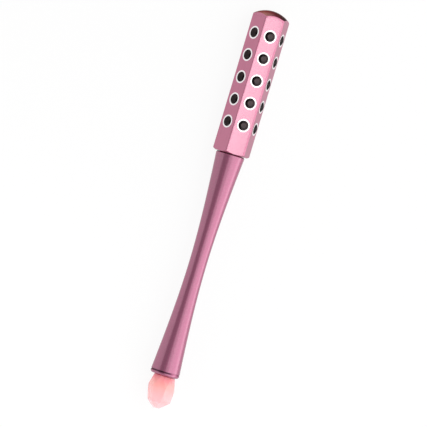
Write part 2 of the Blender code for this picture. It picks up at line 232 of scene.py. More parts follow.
stainShare = 0.15           # how much the stains thin the painted shade
middleOfNoise = {"From Min": 0.3, "From Max": 0.7}      # where most of a noise's values lie
wholeOfNoise = {"From Min": 0.0, "From Max": 1.0}


def roughnessRange(look, noise):
    # what a Map Range node needs to turn noise into roughness
    return {**noise, "To Min": look["roughness"] - look["spread"],
            "To Max": look["roughness"] + look["spread"]}


def anodisedTurnedAluminium(name, look):
    # aluminium turned on a lathe, anodised pink and sealed: faint rings round the grip that
    # stretch its highlights, under a thin hard gloss
    material, tree = newMaterial(name)
    place = addNode(tree, "ShaderNodeTexCoord")
    rings = addNode(tree, "ShaderNodeMapping", values={
        "Scale": (1 / look["turningPitch"], 1 / look["turningDrift"], 1 / look["turningDrift"])},
        links={"Vector": place.outputs["Object"]})
    ringNoise = addNode(tree, "ShaderNodeTexNoise", values={
        "Scale": 1.0, "Detail": 2.0, "Roughness": 0.6}, links={"Vector": rings.outputs["Vector"]})
    flakes = addNode(tree, "ShaderNodeTexNoise", values={
        "Scale": 1 / look["flakeSize"], "Detail": 3.0}, links={"Vector": place.outputs["Object"]})
    tint = addNode(tree, "ShaderNodeMix", {"data_type": "RGBA"}, {
        "A": hexColour(look["deepColour"]), "B": hexColour(look["colour"])},
        {"Factor": flakes.outputs["Fac"]})
    sheen = addNode(tree, "ShaderNodeMapRange", values=roughnessRange(look, middleOfNoise),
                    links={"Value": ringNoise.outputs["Fac"]})
    bump = addNode(tree, "ShaderNodeBump", values={
        "Strength": look["bump"], "Distance": look["bumpHeight"]},
        links={"Height": ringNoise.outputs["Fac"]})
    shader = addNode(tree, "ShaderNodeBsdfPrincipled", values={
        "Metallic": 1.0, "Specular Tint": hexColour(look["edgeTint"]),
        "Coat Weight": look["coat"], "Coat Roughness": look["coatRoughness"],
        "Coat IOR": look["coatIor"]},
        links={"Base Color": tint.outputs["Result"], "Roughness": sheen.outputs["Result"],
               "Normal": bump.outputs["Normal"]})
    finishMaterial(tree, shader.outputs["BSDF"])
    return material


def anodisedMilledAluminium(name, look):
    # aluminium bar milled to six flats, linished along its length and anodised pink: flat,
    # even faces with a soft edge to what they mirror
    material, tree = newMaterial(name)
    place = addNode(tree, "ShaderNodeTexCoord")
    along = addNode(tree, "ShaderNodeMapping", values={
        "Scale": (1 / look["grainLength"], 1 / look["grainWidth"], 1 / look["grainWidth"])},
        links={"Vector": place.outputs["Object"]})
    grain = addNode(tree, "ShaderNodeTexNoise", values={
        "Scale": 1.0, "Detail": 2.0}, links={"Vector": along.outputs["Vector"]})
    cloud = addNode(tree, "ShaderNodeTexNoise", values={
        "Scale": 1 / look["cloudSize"], "Detail": 2.0}, links={"Vector": place.outputs["Object"]})
    tint = addNode(tree, "ShaderNodeMix", {"data_type": "RGBA"}, {
        "A": hexColour(look["deepColour"]), "B": hexColour(look["colour"])},
        {"Factor": cloud.outputs["Fac"]})
    sheen = addNode(tree, "ShaderNodeMapRange", values=roughnessRange(look, middleOfNoise),
                    links={"Value": grain.outputs["Fac"]})
    bump = addNode(tree, "ShaderNodeBump", values={
        "Strength": look["bump"], "Distance": look["bumpHeight"]},
        links={"Height": grain.outputs["Fac"]})
    shader = addNode(tree, "ShaderNodeBsdfPrincipled", values={
        "Metallic": 1.0, "Specular Tint": hexColour(look["edgeTint"]),
        "Coat Weight": look["coat"], "Coat Roughness": look["coatRoughness"],
        "Coat IOR": look["coatIor"]},
        links={"Base Color": tint.outputs["Result"], "Roughness": sheen.outputs["Result"],
               "Normal": bump.outputs["Normal"]})
    finishMaterial(tree, shader.outputs["BSDF"])
    return material


def brightDippedAluminium(name, look):
    # the cap is polished and bright dipped before a deeper anodise, with faint polishing swirls. Its
    # dark colour is partly painted reflection of dark surroundings, and painted shade runs from +Y
    # (pale) to -Y (deep)
    material, tree = newMaterial(name)
    place = addNode(tree, "ShaderNodeTexCoord")
    swirl = addNode(tree, "ShaderNodeTexNoise", values={
        "Scale": 1 / look["swirlSize"], "Detail": 3.0, "Distortion": look["swirlTwist"]},
        links={"Vector": place.outputs["Object"]})
    axes = addNode(tree, "ShaderNodeSeparateXYZ", links={"Vector": place.outputs["Object"]})
    across = addNode(tree, "ShaderNodeMapRange", values={
        "From Min": capLow.y, "From Max": capHigh.y, "To Min": look["paintedShadeRange"][0],
        "To Max": look["paintedShadeRange"][1]}, links={"Value": axes.outputs["Y"]})
    stir = addNode(tree, "ShaderNodeMath", {"operation": "MULTIPLY_ADD"}, {1: look["swirlShare"]},
                   {0: swirl.outputs["Fac"], 2: across.outputs["Result"]})
    # painted reflection and shade across the cap, paler towards +Y and deeper towards -Y
    tint = addNode(tree, "ShaderNodeValToRGB", links={"Fac": stir.outputs["Value"]})
    fillRamp(tint, look["paintedShadeStops"], (look["deepColour"], look["colour"], look["paintedLitColour"]))
    sheen = addNode(tree, "ShaderNodeMapRange", values=roughnessRange(look, middleOfNoise),
                    links={"Value": swirl.outputs["Fac"]})
    shader = addNode(tree, "ShaderNodeBsdfPrincipled", values={
        "Metallic": 1.0, "Specular Tint": hexColour(look["edgeTint"]),
        "Coat Weight": look["coat"], "Coat Roughness": look["coatRoughness"]},
        links={"Base Color": tint.outputs["Color"], "Roughness": sheen.outputs["Result"]})
    finishMaterial(tree, shader.outputs["BSDF"])
    return material


def paintedRecessShade(name, look):
    # painted shade in the collar's groove and on the lip under the head: they are coloured as dark
    # lines, and the groove's shade fades out on one side, towards -Y
    material, tree = newMaterial(name)
    place = addNode(tree, "ShaderNodeTexCoord")
    stain = addNode(tree, "ShaderNodeTexNoise", values={
        "Scale": 1 / look["stainSize"], "Detail": 2.0}, links={"Vector": place.outputs["Object"]})
    axes = addNode(tree, "ShaderNodeSeparateXYZ", links={"Vector": place.outputs["Object"]})
    across = addNode(tree, "ShaderNodeMapRange", {"interpolation_type": "SMOOTHSTEP"}, {
        "From Min": look["shadeStartY"], "From Max": look["shadeFullY"]}, {"Value": axes.outputs["Y"]})
    paintedShade = addNode(tree, "ShaderNodeMath", {"operation": "MULTIPLY_ADD", "use_clamp": True},
                     {1: -stainShare}, {0: stain.outputs["Fac"], 2: across.outputs["Result"]})
    tint = addNode(tree, "ShaderNodeMix", {"data_type": "RGBA"}, {
        "A": hexColour(look["colour"]), "B": hexColour(look["deepColour"])},
        {"Factor": paintedShade.outputs["Value"]})
    sheen = addNode(tree, "ShaderNodeMapRange", values=roughnessRange(look, wholeOfNoise),
                    links={"Value": stain.outputs["Fac"]})
    shader = addNode(tree, "ShaderNodeBsdfPrincipled", values={
        "Metallic": 1.0, "Specular Tint": hexColour(look["edgeTint"]),
        "Coat Weight": look["coat"], "Coat Roughness": look["coatRoughness"]},
        links={"Base Color": tint.outputs["Result"], "Roughness": sheen.outputs["Result"]})
    finishMaterial(tree, shader.outputs["BSDF"])
    return material


handleMetal = anodisedTurnedAluminium("anodised_aluminium_turned", handleFinish)
headMetal = anodisedMilledAluminium("anodised_aluminium_milled", headFinish)
domeMetal = brightDippedAluminium("anodised_aluminium_bright_dipped_painted_reflection", domeFinish)
grooveShadeMetal = paintedRecessShade("anodised_aluminium_groove_painted_shade", grooveShadeFinish)
lipShadeMetal = paintedRecessShade("anodised_aluminium_lip_painted_shade", lipShadeFinish)
print("aluminium finishes made")


# Handle shell: a hyperbola from the collar's seam to the head, bored at both ends

handleShell = {
    "waistDiameter": 0.0093,
    "edgeRadius": 0.0004,
    "gripSteps": 72,
    "lipInset": 0.00045,         # the lip round the thrust washer, in from the handle's edge
}

endCollar = {
    "edgeRadius": 0.0014,
    "edgeSteps": 12,
    "grooveWidth": 0.0006,
    "grooveDepth": 0.0002,
    "spigotDiameter": 0.0100,
    "recessDepth": 0.0014,
    "tenonDiameter": 0.0092,
    "seamGap": 0.0001,
}

collarRadius = (collarHigh.y - collarLow.y) / 2
seamX = shellLow.x - endCollar["seamGap"]
waistRadius = handleShell["waistDiameter"] / 2
spigotRadius = endCollar["spigotDiameter"] / 2


def gripRadius(x):
    middle = (seamX + shellHigh.x) / 2
    share = (x - middle) / (shellHigh.x - middle)
    return sqrt(waistRadius ** 2 + (collarRadius ** 2 - waistRadius ** 2) * share ** 2)


def makeHandleShell():
    edge = handleShell["edgeRadius"]
    steps = handleShell["gripSteps"]
    roundX = shellHigh.x - edge
    grip = []
    for step in range(steps + 1):
        x = shellLow.x + (roundX - shellLow.x) * step / steps
        grip.append((x, gripRadius(x)))
    corner = roundedCorner(roundX, gripRadius(roundX) - edge, edge, 0, 90)[1:]
    boreRadius = (socketHigh.y - socketLow.y) / 2 + fitGap
    boreFloor = socketLow.x - fitGap
    lowerBore = spigotRadius + fitGap
    lowerFloor = collarHigh.x + fitGap
    washerLow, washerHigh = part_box("thrust_washer")
    lipRadius = gripRadius(roundX) - handleShell["lipInset"]
    lipBore = (washerHigh.y - washerLow.y) / 2 + fitGap
    lipX = headLow.x - fitGap / 2
    lip = [(shellHigh.x, lipRadius), (lipX, lipRadius), (lipX, lipBore), (shellHigh.x, lipBore)]
    outline = [(lowerFloor, 0.0), (lowerFloor, lowerBore), (shellLow.x, lowerBore)]
    outline += grip + corner + lip
    outline += [(shellHigh.x, boreRadius), (boreFloor, boreRadius), (boreFloor, 0.0)]
    shell = addPiece("grip_shell", turnedMesh("grip_shell", outline), handleMetal, "handle",
                     ["handle_shell"])
    # the lip's end faces take the painted shade of the gap under the head
    shell.data.materials.append(lipShadeMetal)
    for face in shell.data.polygons:
        if face.center.x > shellHigh.x - fitGap / 4:
            face.material_index = 1


def makeEndCollar():
    grooveRadius = collarRadius - endCollar["grooveDepth"]
    grooveX = seamX - endCollar["grooveWidth"]
    edge = endCollar["edgeRadius"]
    recessRadius = endCollar["tenonDiameter"] / 2 + fitGap
    recessX = collarLow.x + endCollar["recessDepth"]
    studRadius = (studHigh.y - studLow.y) / 2 + fitGap
    outline = [(collarHigh.x, studRadius), (collarHigh.x, spigotRadius), (seamX, spigotRadius),
               (seamX, grooveRadius), (grooveX, grooveRadius), (grooveX, collarRadius)]
    outline += roundedCorner(collarLow.x + edge, collarRadius - edge, edge, 0, -90,
                             endCollar["edgeSteps"])
    outline += [(collarLow.x, recessRadius), (recessX, recessRadius), (recessX, studRadius)]
    collar = addPiece("tip_collar", turnedMesh("tip_collar", outline), handleMetal, "handle",
                      ["end_collar"])
    # the groove's faces get the painted shade
    collar.data.materials.append(grooveShadeMetal)
    for face in collar.data.polygons:
        if grooveX - fitGap / 2 < face.center.x < seamX + fitGap / 2:
            face.material_index = 1


makeHandleShell()
makeEndCollar()
print("handle and collar turned")


# Head: a rounded hexagon, chamfered at its foot and domed at its cap

headForm = {
    "edgeRadius": 0.0006,
    "landDiameter": 0.0171,
    "footSlope": 30,
    "domeRadius": 0.0150,
    "domeSteps": 20,
    "domeFacing": 0.6,         # faces that look this far towards the apex belong to the dome
    "flatSteps": 14,
    "edgeSteps": 6,
    "arris": 0.00012,          # the small break on the sharp edges
    "arrisAngle": 25,          # an edge that turns more than this is sharp
    "arrisSegments": 2,
    "apexRadius": 0.0001,
    "shadeAngle": 35,
    "seamGap": 0.0001,
    "seamFit": 0.00003,        # the cap is pressed on so tightly that its seam hardly shows
    "wellDiameter": 0.0120,
    "wellDepth": 0.0100,
    "capSpigotDiameter": 0.0116,
    "boreSteps": 64,
    "cutOverrun": 0.001,
}

bushForm = {
    "sleeveDiameter": 0.0090,
    "flangeThickness": 0.0012,
}

stoneForm = {
    "diameter": 0.0052,
    "depth": 0.0012,
    "proud": 0.0007,
    "crownHeight": 0.00055,
    "tableDiameter": 0.0029,
    "starFacets": 8,
    "junctionShare": 0.52,     # how far out between table and girdle the star facets end
    "shadeAngle": 3,           # small, so that every facet stays flat
    "pocketGap": 0.00015,
    "pocketSides": 40,
}

bezelForm = {
    "innerDiameter": 0.0053,
    "outerDiameter": 0.0069,
    "sleeveDiameter": 0.00544,
    "depth": 0.0011,
    "height": 0.00015,
    "edgeRadius": 0.00006,
    "edgeSteps": 4,
    "roundSteps": 64,
    "shadeAngle": 40,
}

faceCount = 6
rowCount = 5
headApothem = axisHeight - stoneForm["proud"]


def hexagonPoints():
    # (angle, radius) round a hexagon with rounded corners, closer together on the corners
    edge = headForm["edgeRadius"]
    halfFace = pi / faceCount
    flatHalf = (headApothem - edge) * tan(halfFace)
    cornerCentre = (headApothem - edge) / cos(halfFace)
    points = []
    for face in range(faceCount):
        middle = 2 * pi * face / faceCount
        for step in range(headForm["flatSteps"]):
            across = flatHalf * (2 * step / headForm["flatSteps"] - 1)
            points.append((middle + atan(across / headApothem),
                           sqrt(headApothem ** 2 + across ** 2)))
        for step in range(headForm["edgeSteps"]):
            turn = halfFace * (2 * step / headForm["edgeSteps"] - 1)
            x = cornerCentre + edge * cos(turn)
            y = edge * sin(turn)
            points.append((middle + halfFace + atan2(y, x), sqrt(x ** 2 + y ** 2)))
    return points


hexagon = hexagonPoints()


def onAxis(x, angle, radius):
    # angle 0 points down, to the face that the roller lies on
    return Vector((x, radius * sin(angle), axisHeight - radius * cos(angle)))


def loftRings(name, rings, arrisRange):
    # a closed solid through rings of (x, radius), one pair for each point of the hexagon, with
    # its sharp edges broken between two stations along the roller
    bm = bmesh.new()
    rows = [[bm.verts.new(onAxis(x, angle, radius))
             for (x, radius), (angle, reach) in zip(ring, hexagon)] for ring in rings]
    count = len(hexagon)
    for low, high in zip(rows, rows[1:]):
        for i in range(count):
            bm.faces.new((low[i], low[(i + 1) % count], high[(i + 1) % count], high[i]))
    bm.faces.new(rows[0])
    bm.faces.new(rows[-1])
    bmesh.ops.recalc_face_normals(bm, faces=bm.faces)
    sharp = [e for e in bm.edges if e.calc_face_angle() > radians(headForm["arrisAngle"])
             and all(arrisRange[0] < v.co.x < arrisRange[1] for v in e.verts)]
    bmesh.ops.bevel(bm, geom=sharp, offset=headForm["arris"],
                    segments=headForm["arrisSegments"], profile=0.5, affect="EDGES",
                    clamp_overlap=True)
    return meshFrom(bm, name, headForm["shadeAngle"])


def ringAt(x, radius=None):
    return [(x, reach if radius is None else radius) for angle, reach in hexagon]


def domeDrop(radius):
    return headForm["domeRadius"] - sqrt(headForm["domeRadius"] ** 2 - radius ** 2)


def facePlace(face, x):
    # local Z points out of the face and local X along the roller, with the origin on the face
    angle = 2 * pi * face / faceCount
    out = onAxis(0.0, angle, 1.0) - onAxis(0.0, 0.0, 0.0)
    along = Vector((1.0, 0.0, 0.0))
    side = out.cross(along)
    turn = Matrix((along, side, out)).transposed().to_4x4()
    return Matrix.Translation(onAxis(x, angle, headApothem)) @ turn


def stoneX(row):
    low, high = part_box(f"face1_stone{row + 1}")
    return (low.x + high.x) / 2


stonePlaces = [(face, row, facePlace(face, stoneX(row)))
               for face in range(faceCount) for row in range(rowCount)]


def weighNormals(piece):
    weigh = piece.modifiers.new("weighNormals", "WEIGHTED_NORMAL")
    weigh.keep_sharp = True
    weigh.weight = 100          # the large flats set the shading, and their broken edges follow


def boreOutline():
    lowerLow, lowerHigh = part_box("lower_bush")
    flangeRadius = (lowerHigh.y - lowerLow.y) / 2 + fitGap
    sleeveRadius = bushForm["sleeveDiameter"] / 2 + fitGap
    seatX = lowerLow.x + bushForm["flangeThickness"] + fitGap
    wellRadius = headForm["wellDiameter"] / 2
    wellX = headHigh.x + headForm["seamGap"] - headForm["wellDepth"]
    past = headForm["cutOverrun"]
    return [(headHigh.x + past, 0.0), (headHigh.x + past, wellRadius), (wellX, wellRadius),
            (wellX, sleeveRadius), (seatX, sleeveRadius), (seatX, flangeRadius),
            (headLow.x - past, flangeRadius), (headLow.x - past, 0.0)]


def makeHeadBarrel():
    topX = headHigh.x + headForm["seamGap"] - headForm["seamFit"]
    land = headForm["landDiameter"] / 2
    rise = tan(radians(headForm["footSlope"]))
    foot = [(headLow.x + max(0.0, (reach - land) * rise), reach) for angle, reach in hexagon]
    mesh = loftRings("hexagon_barrel", [
        [(headLow.x, min(land, reach)) for angle, reach in hexagon],
        foot,
        ringAt(topX),
    ], (headLow.x - headForm["edgeRadius"], topX - headForm["edgeRadius"]))
    barrel = addPiece("hexagon_barrel", mesh, headMetal, "head", ["head_barrel"])

    # pockets for the stones and a bore for the bushes and the cap's spigot
    bm = bmesh.new()
    pocketRadius = stoneForm["diameter"] / 2 + stoneForm["pocketGap"]
    pocketDepth = stoneForm["depth"] + fitGap
    for face, row, place in stonePlaces:
        bmesh.ops.create_cone(bm, cap_ends=True, segments=stoneForm["pocketSides"],
                              radius1=pocketRadius, radius2=pocketRadius,
                              depth=2 * pocketDepth, matrix=place)
    cutter = bpy.data.objects.new("cutter", meshFrom(bm, "cutter"))
    bpy.context.scene.collection.objects.link(cutter)
    boreMesh = turnedMesh("boreCutter", boreOutline(), headForm["boreSteps"])
    boreCutter = bpy.data.objects.new("boreCutter", boreMesh)
    bpy.context.scene.collection.objects.link(boreCutter)
    for tool in (cutter, boreCutter):
        cut = barrel.modifiers.new("cut", "BOOLEAN")
        cut.solver = "EXACT"
        cut.object = tool
    applyModifiers(barrel)
    for tool in (cutter, boreCutter):
        bpy.data.objects.remove(tool, do_unlink=True)
    barrel.data.shade_smooth()
    barrel.data.set_sharp_from_angle(angle=radians(headForm["shadeAngle"]))
    weighNormals(barrel)


def makeDomeCap():
    seam = headHigh.x + headForm["seamGap"]
    apex = capHigh.x
    spigotRadius = headForm["capSpigotDiameter"] / 2
    rings = [ringAt(capLow.x, spigotRadius), ringAt(seam, spigotRadius), ringAt(seam)]
    for step in range(headForm["domeSteps"]):
        share = 1 - step / headForm["domeSteps"]
        rings.append([(apex - domeDrop(reach * share), reach * share) for angle, reach in hexagon])
    apexRadius = headForm["apexRadius"]
    rings.append([(apex - domeDrop(apexRadius), apexRadius) for angle, reach in hexagon])
    arrisRange = (seam + headForm["arris"], apex)
    cap = addPiece("domed_cap", loftRings("domed_cap", rings, arrisRange), headMetal,
                   "head", ["dome_cap"])
    # the dome faces take the finish with the painted reflection
    cap.data.materials.append(domeMetal)
    for face in cap.data.polygons:
        if face.normal.x > headForm["domeFacing"]:
            face.material_index = 1
    weighNormals(cap)


makeHeadBarrel()
makeDomeCap()
print("head lofted, with", len(stonePlaces), "pockets")


# Stones and bezels

def cutStoneMesh():
    # a round stone with a flat table, eight star facets, eight kites and sixteen girdle facets
    count = stoneForm["starFacets"]
    radius = stoneForm["diameter"] / 2
    table = stoneForm["tableDiameter"] / 2
    top = stoneForm["proud"]
    girdle = top - stoneForm["crownHeight"]
    junction = table + (radius - table) * stoneForm["junctionShare"]
    half = pi / count
    fall = (girdle - top) / (radius - table)
    junctionHeight = top + fall * (junction * cos(half) - table)
    bm = bmesh.new()
    tableRing = []
    junctionRing = []
    girdleRing = []
    for i in range(count):
        turn = 2 * half * i
        tableRing.append(bm.verts.new((table * cos(turn), table * sin(turn), top)))
        junctionRing.append(bm.verts.new((junction * cos(turn + half), junction * sin(turn + half),
                                          junctionHeight)))
    for i in range(2 * count):
        turn = half * i
        girdleRing.append(bm.verts.new((radius * cos(turn), radius * sin(turn), girdle)))
    bm.faces.new(tableRing)
    for i in range(count):
        ahead = (i + 1) % count
        bm.faces.new((tableRing[i], junctionRing[i], tableRing[ahead]))
        bm.faces.new((tableRing[i], junctionRing[i - 1], girdleRing[2 * i], junctionRing[i]))
        bm.faces.new((junctionRing[i], girdleRing[2 * i], girdleRing[2 * i + 1]))
        bm.faces.new((junctionRing[i], girdleRing[2 * i + 1], girdleRing[2 * ahead]))
    foot = [bm.verts.new((v.co.x, v.co.y, -stoneForm["depth"])) for v in girdleRing]
    for i in range(2 * count):
        ahead = (i + 1) % (2 * count)
        bm.faces.new((girdleRing[i], girdleRing[ahead], foot[ahead], foot[i]))
    bm.faces.new(foot)
    return meshFrom(bm, "cut_stone", stoneForm["shadeAngle"])


def bezelMesh():
    # a flat flange with rounded edges, on a thin sleeve that lines the stone's pocket
    inner = bezelForm["innerDiameter"] / 2
    outer = bezelForm["outerDiameter"] / 2
    sleeve = bezelForm["sleeveDiameter"] / 2
    edge = bezelForm["edgeRadius"]
    top = bezelForm["height"]
    outline = [(sleeve, -bezelForm["depth"]), (sleeve, 0.0), (outer, 0.0)]
    steps = bezelForm["edgeSteps"]
    for centre, start in ((outer - edge, 0), (inner + edge, 90)):
        for step in range(steps + 1):
            turn = radians(start + 90 * step / steps)
            outline.append((centre + edge * cos(turn), top - edge + edge * sin(turn)))
    outline.append((inner, -bezelForm["depth"]))
    bm = bmesh.new()
    points = [bm.verts.new((radius, 0.0, height)) for radius, height in outline]
    sides = [bm.edges.new(pair) for pair in zip(points, points[1:] + points[:1])]
    bmesh.ops.spin(bm, geom=points + sides, cent=(0.0, 0.0, 0.0), axis=(0.0, 0.0, 1.0),
                   angle=2 * pi, steps=bezelForm["roundSteps"], use_merge=True)
    bmesh.ops.remove_doubles(bm, verts=bm.verts, dist=mergeDistance)
    return meshFrom(bm, "bezel_ring", bezelForm["shadeAngle"])


stoneFinish = {
    "colour": "2b2728",
    "veinColour": "3a3030",
    "edgeTint": "bababa",
    "veinSize": 0.0011,
    "veinRange": (0.45, 0.75),   # the noise values between which the stone turns to vein
    "roughness": 0.10,
    "spread": 0.03,
}

bezelFinish = {
    "colour": "fbf8f9",
    "tarnish": "ece6e8",
    "roughness": 0.14,
    "spread": 0.05,
    "scratchSize": 0.0004,       # handling scratches are finer: drawn coarser, so that they show
}


def polishedHematite(look):
    # hematite, cut and polished: a black stone with a dull metallic lustre, so that its table
    # mirrors a lamp greyly while the facets round it stay dark
    material, tree = newMaterial("black_hematite_polished")
    place = addNode(tree, "ShaderNodeTexCoord")
    cloud = addNode(tree, "ShaderNodeTexNoise", values={
        "Scale": 1 / look["veinSize"], "Detail": 4.0}, links={"Vector": place.outputs["Object"]})
    veins = addNode(tree, "ShaderNodeMapRange", values={
        "From Min": look["veinRange"][0], "From Max": look["veinRange"][1]},
        links={"Value": cloud.outputs["Fac"]})
    tint = addNode(tree, "ShaderNodeMix", {"data_type": "RGBA"}, {
        "A": hexColour(look["colour"]), "B": hexColour(look["veinColour"])},
        {"Factor": veins.outputs["Result"]})
    sheen = addNode(tree, "ShaderNodeMapRange", values=roughnessRange(look, wholeOfNoise),
                    links={"Value": cloud.outputs["Fac"]})
    shader = addNode(tree, "ShaderNodeBsdfPrincipled", values={
        "Metallic": 1.0, "Specular Tint": hexColour(look["edgeTint"])},
        links={"Base Color": tint.outputs["Result"], "Roughness": sheen.outputs["Result"]})
    finishMaterial(tree, shader.outputs["BSDF"])
    return material


def polishedSilverPlate(look):
    # brass plated with silver and burnished: almost white, with fine handling scratches
    material, tree = newMaterial("silver_plate_burnished")
    place = addNode(tree, "ShaderNodeTexCoord")
    rub = addNode(tree, "ShaderNodeTexNoise", values={
        "Scale": 1 / look["scratchSize"], "Detail": 3.0}, links={"Vector": place.outputs["Object"]})
    tint = addNode(tree, "ShaderNodeMix", {"data_type": "RGBA"}, {
        "A": hexColour(look["tarnish"]), "B": hexColour(look["colour"])},
        {"Factor": rub.outputs["Fac"]})
    sheen = addNode(tree, "ShaderNodeMapRange", values=roughnessRange(look, wholeOfNoise),
                    links={"Value": rub.outputs["Fac"]})
    shader = addNode(tree, "ShaderNodeBsdfPrincipled", values={"Metallic": 1.0},
                     links={"Base Color": tint.outputs["Result"],
                            "Roughness": sheen.outputs["Result"]})
    finishMaterial(tree, shader.outputs["BSDF"])
    return material


hematite = polishedHematite(stoneFinish)
silverPlate = polishedSilverPlate(bezelFinish)
stoneMesh = cutStoneMesh()
ringMesh = bezelMesh()
for mesh, material in ((stoneMesh, hematite), (ringMesh, silverPlate)):
    mesh.materials.append(material)


def setOnHead(name, mesh, place):
    piece = bpy.data.objects.new(name, mesh)
    bpy.context.scene.collection.objects.link(piece)
    piece.matrix_world = place
    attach(piece, "head")
    return piece


for face, row, place in stonePlaces:
    stone = setOnHead(f"cut_stone_{face + 1}_{row + 1}", stoneMesh, place)
    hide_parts(f"face{face + 1}_stone{row + 1}")
    setOnHead(f"bezel_ring_{face + 1}_{row + 1}", ringMesh, place)
print("stones and bezels set")


# Quartz tip: the carved crystal with its edges polished over

tipForm = {
    "edgeRadius": 0.00045,
    "edgeSegments": 4,
    "flatAngle": 1.0,            # facets that differ by less are one
    "facetAngle": 6,             # and edges that turn by more are polished over
    "shadeAngle": 40,
}

tipFinish = {
    "pale": "ffc6cb",
    "colour": "ffb1ad",
    "deep": "f27a92",
    "stops": (0.1, 0.5, 1.0),
    "fadeReach": 0.85,           # how far the fade from the point reaches at the collar
    "fadePower": 2.2,
    "cloudSize": 0.0045,
    "cloudTwist": 0.6,
    "cloudShare": 0.3,
    "veinSize": 0.0016,
    "veinTwist": 1.2,
    "crackRange": (0.48, 0.52),
    "crackRoughness": 0.1,       # how much rougher a healed crack is
    "roughness": 0.12,
    "transmission": 0.02,
    "ior": 1.54,
    "specularLevel": 0.12,
    "subsurface": 0.6,
    "subsurfaceScale": 0.003,
    "subsurfaceRadius": (1.0, 0.6, 0.55),
}


def polishedRoseQuartz(look):
    # rose quartz, ground to facets and polished: milky pink, paler towards its point, with
    # soft clouds inside and fine healed cracks
    material, tree = newMaterial("rose_quartz_polished")
    place = addNode(tree, "ShaderNodeTexCoord")
    axes = addNode(tree, "ShaderNodeSeparateXYZ", links={"Vector": place.outputs["Object"]})
    cloud = addNode(tree, "ShaderNodeTexNoise", values={
        "Scale": 1 / look["cloudSize"], "Detail": 3.0, "Distortion": look["cloudTwist"]},
        links={"Vector": place.outputs["Object"]})
    vein = addNode(tree, "ShaderNodeTexNoise", values={
        "Scale": 1 / look["veinSize"], "Detail": 5.0, "Distortion": look["veinTwist"]},
        links={"Vector": place.outputs["Object"]})
    fade = addNode(tree, "ShaderNodeMapRange", values={
        "From Min": tipLow.x, "From Max": collarLow.x, "To Max": look["fadeReach"]},
        links={"Value": axes.outputs["X"]})
    depth = addNode(tree, "ShaderNodeMath", {"operation": "POWER"}, {1: look["fadePower"]},
                    {0: fade.outputs["Result"]})
    stir = addNode(tree, "ShaderNodeMath", {"operation": "MULTIPLY_ADD"}, {1: look["cloudShare"]},
                   {0: cloud.outputs["Fac"], 2: depth.outputs["Value"]})
    ramp = addNode(tree, "ShaderNodeValToRGB", links={"Fac": stir.outputs["Value"]})
    fillRamp(ramp, look["stops"], (look["pale"], look["colour"], look["deep"]))
    crack = addNode(tree, "ShaderNodeMapRange", values={
        "From Min": look["crackRange"][0], "From Max": look["crackRange"][1]},
        links={"Value": vein.outputs["Fac"]})
    sheen = addNode(tree, "ShaderNodeMapRange", values={
        "To Min": look["roughness"], "To Max": look["roughness"] + look["crackRoughness"]},
        links={"Value": crack.outputs["Result"]})
    shader = addNode(tree, "ShaderNodeBsdfPrincipled", values={
        "IOR": look["ior"], "Transmission Weight": look["transmission"],
        "Specular IOR Level": look["specularLevel"],
        "Subsurface Weight": look["subsurface"], "Subsurface Scale": look["subsurfaceScale"],
        "Subsurface Radius": look["subsurfaceRadius"]},
        links={"Base Color": ramp.outputs["Color"], "Roughness": sheen.outputs["Result"]})
    finishMaterial(tree, shader.outputs["BSDF"])
    return material


roseQuartz = polishedRoseQuartz(tipFinish)


def makeQuartzTip():
    bm = bmesh.new()
    bm.from_mesh(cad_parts["quartz_tip"].data)
    bmesh.ops.remove_doubles(bm, verts=bm.verts, dist=mergeDistance)
    bmesh.ops.dissolve_limit(bm, angle_limit=radians(tipForm["flatAngle"]), verts=bm.verts,
                             edges=bm.edges)
    facetEdges = [e for e in bm.edges if max(v.co.x for v in e.verts) < collarLow.x - fitGap / 2
                  and len(e.link_faces) == 2 and e.calc_face_angle() > radians(tipForm["facetAngle"])]
    bmesh.ops.bevel(bm, geom=facetEdges, offset=tipForm["edgeRadius"],
                    segments=tipForm["edgeSegments"], profile=0.5, affect="EDGES",
                    clamp_overlap=True)
    tip = addPiece("carved_quartz", meshFrom(bm, "carved_quartz", tipForm["shadeAngle"]),
                   roseQuartz, "handle", ["quartz_tip"])
    weighNormals(tip)


makeQuartzTip()
print("quartz tip polished")


# Inner pieces: the solids stay, with the finish of turned and moulded parts

innerFinish = {
    # tool marks are near 0.05 mm: the pitch is coarser, so that they show, and the drift is how
    # slowly a mark changes round the piece
    "steel": {"colour": "c4c7cb", "dark": "a3a7ad", "metallic": 1.0, "roughness": 0.28,
              "spread": 0.06, "pitch": 0.0002, "drift": 0.05},
    "brass": {"colour": "cfab67", "dark": "b08a49", "metallic": 1.0, "roughness": 0.32,
              "spread": 0.06, "pitch": 0.0002, "drift": 0.05},
    "acetal": {"colour": "ece8de", "dark": "dfdacd", "metallic": 0.0, "roughness": 0.45,
               "spread": 0.06, "pitch": 0.0005, "drift": 0.05},
}


def turnedStock(name, look):
    # bar turned to size: fine rings from the tool, which break up its shine
    material, tree = newMaterial(name)
    place = addNode(tree, "ShaderNodeTexCoord")
    rings = addNode(tree, "ShaderNodeMapping", values={
        "Scale": (1 / look["pitch"], 1 / look["drift"], 1 / look["drift"])},
        links={"Vector": place.outputs["Object"]})
    marks = addNode(tree, "ShaderNodeTexNoise", values={"Scale": 1.0, "Detail": 2.0},
                    links={"Vector": rings.outputs["Vector"]})
    tint = addNode(tree, "ShaderNodeMix", {"data_type": "RGBA"}, {
        "A": hexColour(look["dark"]), "B": hexColour(look["colour"])},
        {"Factor": marks.outputs["Fac"]})
    sheen = addNode(tree, "ShaderNodeMapRange", values=roughnessRange(look, wholeOfNoise),
                    links={"Value": marks.outputs["Fac"]})
    shader = addNode(tree, "ShaderNodeBsdfPrincipled", values={"Metallic": look["metallic"]},
                     links={"Base Color": tint.outputs["Result"],
                            "Roughness": sheen.outputs["Result"]})
    finishMaterial(tree, shader.outputs["BSDF"])
    return material


